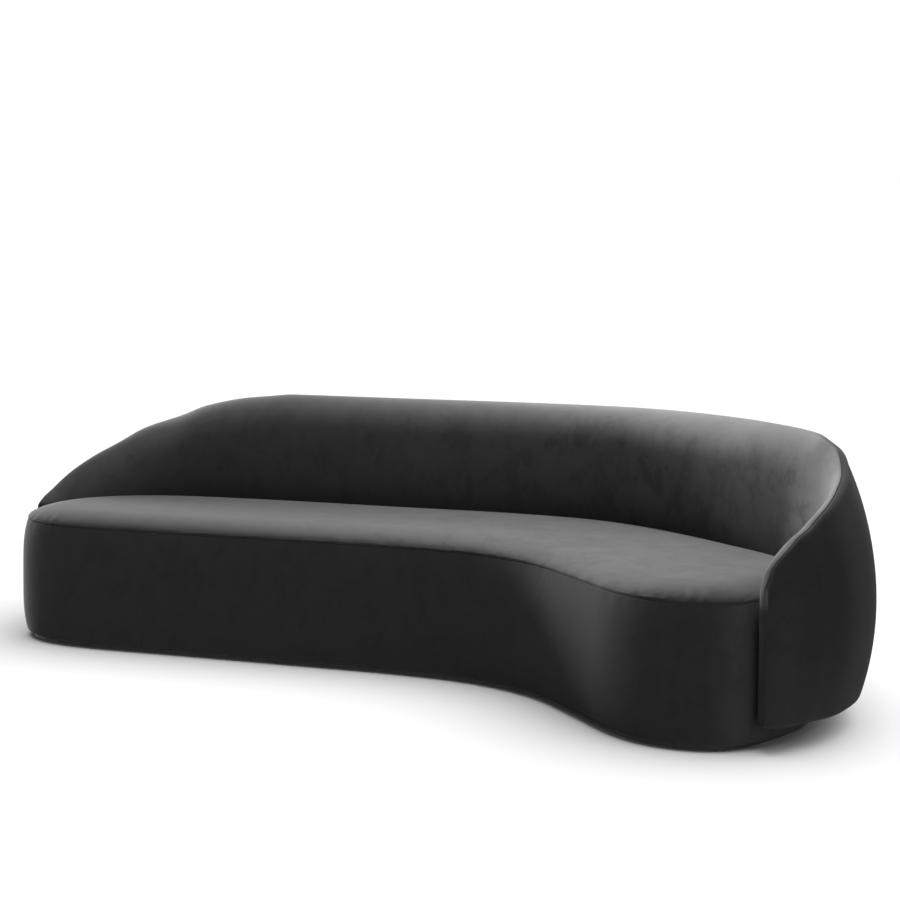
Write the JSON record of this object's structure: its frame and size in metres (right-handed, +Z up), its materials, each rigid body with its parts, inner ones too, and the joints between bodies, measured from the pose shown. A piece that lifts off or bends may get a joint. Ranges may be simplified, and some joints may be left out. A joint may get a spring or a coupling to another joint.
{
  "type": "curved sofa",
  "caption": "Curved upholstered sofa: a bean-shaped seat block on a low recessed plinth, with a padded back that wraps round behind it and slopes down into two arms.",
  "frame": {"origin": "on the floor, under the centre of the sofa's overall box", "axes": "+X to the right as seen from the front, +Y from the open front to the back, +Z up; the front faces -Y"},
  "size_m": [2.942, 1.4902, 0.78],
  "materials": {
    "velvet": "short-pile velvet upholstery",
    "dust_cloth": "black non-woven cloth",
    "webbing": "woven elastic webbing",
    "topper": "soft polyester-wrapped foam",
    "foam": "upholstery foam",
    "plywood": "raw plywood",
    "plinth": "black-stained wood",
    "steel": "zinc-plated steel",
    "plastic": "moulded nylon",
    "rubber": "rubber"
  },
  "bodies": {
    "root": {"seat_side_cover": "velvet", "seat_side_foam": "foam", "plinth": "plinth", "base_board": "plywood", "seat_side_skin": "plywood", "deck_ring": "plywood", "seat_core": "foam", "base_rib_1": "plywood", "base_rib_2": "plywood", "base_rib_3": "plywood", "base_rib_4": "plywood", "base_rib_5": "plywood", "base_rib_6": "plywood", "webbing_1": "webbing", "webbing_2": "webbing", "webbing_3": "webbing", "webbing_4": "webbing", "webbing_5": "webbing", "webbing_6": "webbing", "webbing_7": "webbing", "glide_1": "plastic", "glide_2": "plastic", "glide_3": "plastic", "glide_4": "plastic", "glide_5": "plastic", "glide_6": "plastic", "seat_topper": "topper", "seat_top_cover": "velvet", "back_inside_cover": "velvet", "back_outside_cover": "velvet", "back_dust_cover": "dust_cloth", "back_inside_foam": "foam", "back_outside_padding": "foam", "back_top_roll": "foam", "right_arm_end_foam": "foam", "left_arm_end_foam": "foam", "back_inner_skin": "plywood", "back_outer_skin": "plywood", "back_bottom_rail": "plywood", "back_top_rail": "plywood", "back_rib_1": "plywood", "back_rib_2": "plywood", "back_rib_3": "plywood", "back_rib_4": "plywood", "back_rib_5": "plywood", "back_rib_6": "plywood", "back_rib_7": "plywood", "joining_bolt_1": "steel", "joining_nut_1": "steel", "joining_pad_1": "rubber", "joining_bolt_2": "steel", "joining_nut_2": "steel", "joining_pad_2": "rubber", "joining_bolt_3": "steel", "joining_nut_3": "steel", "joining_pad_3": "rubber", "joining_bolt_4": "steel", "joining_nut_4": "steel", "joining_pad_4": "rubber"}
  },
  "joints": []
}
